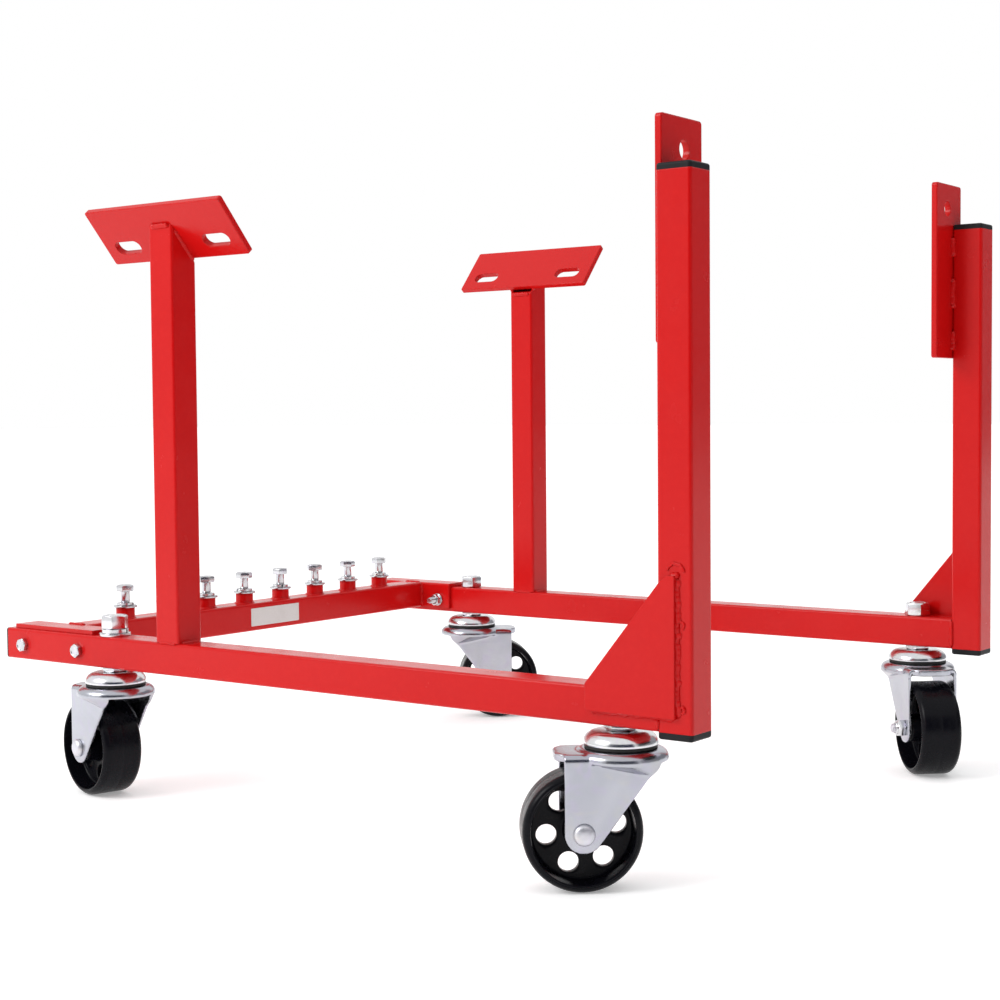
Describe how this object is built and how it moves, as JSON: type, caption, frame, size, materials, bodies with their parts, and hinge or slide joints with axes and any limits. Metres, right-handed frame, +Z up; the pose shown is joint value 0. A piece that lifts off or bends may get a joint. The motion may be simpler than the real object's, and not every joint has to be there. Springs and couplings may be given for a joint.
{
  "type": "engine stand",
  "caption": "Rolling engine stand: square-tube base on swivel casters, uprights with tilted slotted mount plates and bell-housing plates, and a cross member that stores bolts.",
  "frame": {"origin": "on the floor under the middle of the stand's bounding box, casters swivelled as at rest", "axes": "+X along the rails towards the tall uprights with the bell-housing plates, +Y across towards the left rail, +Z up"},
  "size_m": [0.6674, 0.5846, 0.4971],
  "materials": {
    "red_paint": "gloss powder coat",
    "zinc_steel": "bright zinc plate",
    "cap_plastic": "satin black",
    "wheel_plastic": "semi-gloss black",
    "seal_rubber": "matt",
    "label": "matt"
  },
  "bodies": {
    "frame": {"rail_right": "red_paint", "rail_left": "red_paint", "bell_upright_right": "red_paint", "bell_upright_left": "red_paint", "front_upright_right": "red_paint", "front_upright_left": "red_paint", "motor_plate_right": "red_paint", "motor_plate_left": "red_paint", "bell_plate_right": "red_paint", "bell_plate_left": "red_paint", "gusset_right": "red_paint", "gusset_left": "red_paint", "cross_tube": "red_paint", "end_angle_right": "red_paint", "end_angle_left": "red_paint", "bolt_collars": "red_paint", "storage_washers": "zinc_steel", "storage_lock_washers": "zinc_steel", "storage_bolts": "zinc_steel", "cross_bolts": "zinc_steel", "cross_washers": "zinc_steel", "cross_nuts": "zinc_steel", "rail_end_caps": "cap_plastic", "upright_top_caps": "cap_plastic", "upright_bottom_caps": "cap_plastic", "blank_label": "label", "stems": "zinc_steel", "stem_nuts": "zinc_steel", "stem_washers": "zinc_steel", "stem_lock_washers": "zinc_steel", "upper_race_front_right": "zinc_steel", "swivel_seal_front_right": "seal_rubber", "upper_race_rear_right": "zinc_steel", "swivel_seal_rear_right": "seal_rubber", "upper_race_rear_left": "zinc_steel", "swivel_seal_rear_left": "seal_rubber", "upper_race_front_left": "zinc_steel", "swivel_seal_front_left": "seal_rubber"},
    "fork_front_right": {"fork_front_right": "zinc_steel", "axle_bolt_front_right": "zinc_steel", "axle_nut_front_right": "zinc_steel", "axle_sleeve_front_right": "zinc_steel"},
    "wheel_front_right": {"wheel_front_right": "wheel_plastic"},
    "fork_rear_right": {"fork_rear_right": "zinc_steel", "axle_bolt_rear_right": "zinc_steel", "axle_nut_rear_right": "zinc_steel", "axle_sleeve_rear_right": "zinc_steel"},
    "wheel_rear_right": {"wheel_rear_right": "wheel_plastic"},
    "fork_rear_left": {"fork_rear_left": "zinc_steel", "axle_bolt_rear_left": "zinc_steel", "axle_nut_rear_left": "zinc_steel", "axle_sleeve_rear_left": "zinc_steel"},
    "wheel_rear_left": {"wheel_rear_left": "wheel_plastic"},
    "fork_front_left": {"fork_front_left": "zinc_steel", "axle_bolt_front_left": "zinc_steel", "axle_nut_front_left": "zinc_steel", "axle_sleeve_front_left": "zinc_steel"},
    "wheel_front_left": {"wheel_front_left": "wheel_plastic"}
  },
  "joints": [
    {"name": "swivel_front_right", "type": "hinge", "parent": "frame", "child": "fork_front_right", "pos_m": [-0.2123, -0.23897, 0.0894], "axis": [0, 0, 1], "continuous": true},
    {"name": "spin_front_right", "type": "hinge", "parent": "fork_front_right", "child": "wheel_front_right", "pos_m": [-0.23801, -0.23255, 0.0394], "axis": [-0.2419, -0.9703, 0], "continuous": true},
    {"name": "swivel_rear_right", "type": "hinge", "parent": "frame", "child": "fork_rear_right", "pos_m": [0.2728, -0.23897, 0.0894], "axis": [0, 0, 1], "continuous": true},
    {"name": "spin_rear_right", "type": "hinge", "parent": "fork_rear_right", "child": "wheel_rear_right", "pos_m": [0.2525, -0.256, 0.0394], "axis": [0.6428, -0.766, 0], "continuous": true},
    {"name": "swivel_rear_left", "type": "hinge", "parent": "frame", "child": "fork_rear_left", "pos_m": [0.2728, 0.23764, 0.0894], "axis": [0, 0, 1], "continuous": true},
    {"name": "spin_rear_left", "type": "hinge", "parent": "fork_rear_left", "child": "wheel_rear_left", "pos_m": [0.29053, 0.21794, 0.0394], "axis": [0.7431, 0.6691, 0], "continuous": true},
    {"name": "swivel_front_left", "type": "hinge", "parent": "frame", "child": "fork_front_left", "pos_m": [-0.2123, 0.23764, 0.0894], "axis": [0, 0, 1], "continuous": true},
    {"name": "spin_front_left", "type": "hinge", "parent": "fork_front_left", "child": "wheel_front_left", "pos_m": [-0.19261, 0.25537, 0.0394], "axis": [-0.6691, 0.7431, 0], "continuous": true}
  ]
}
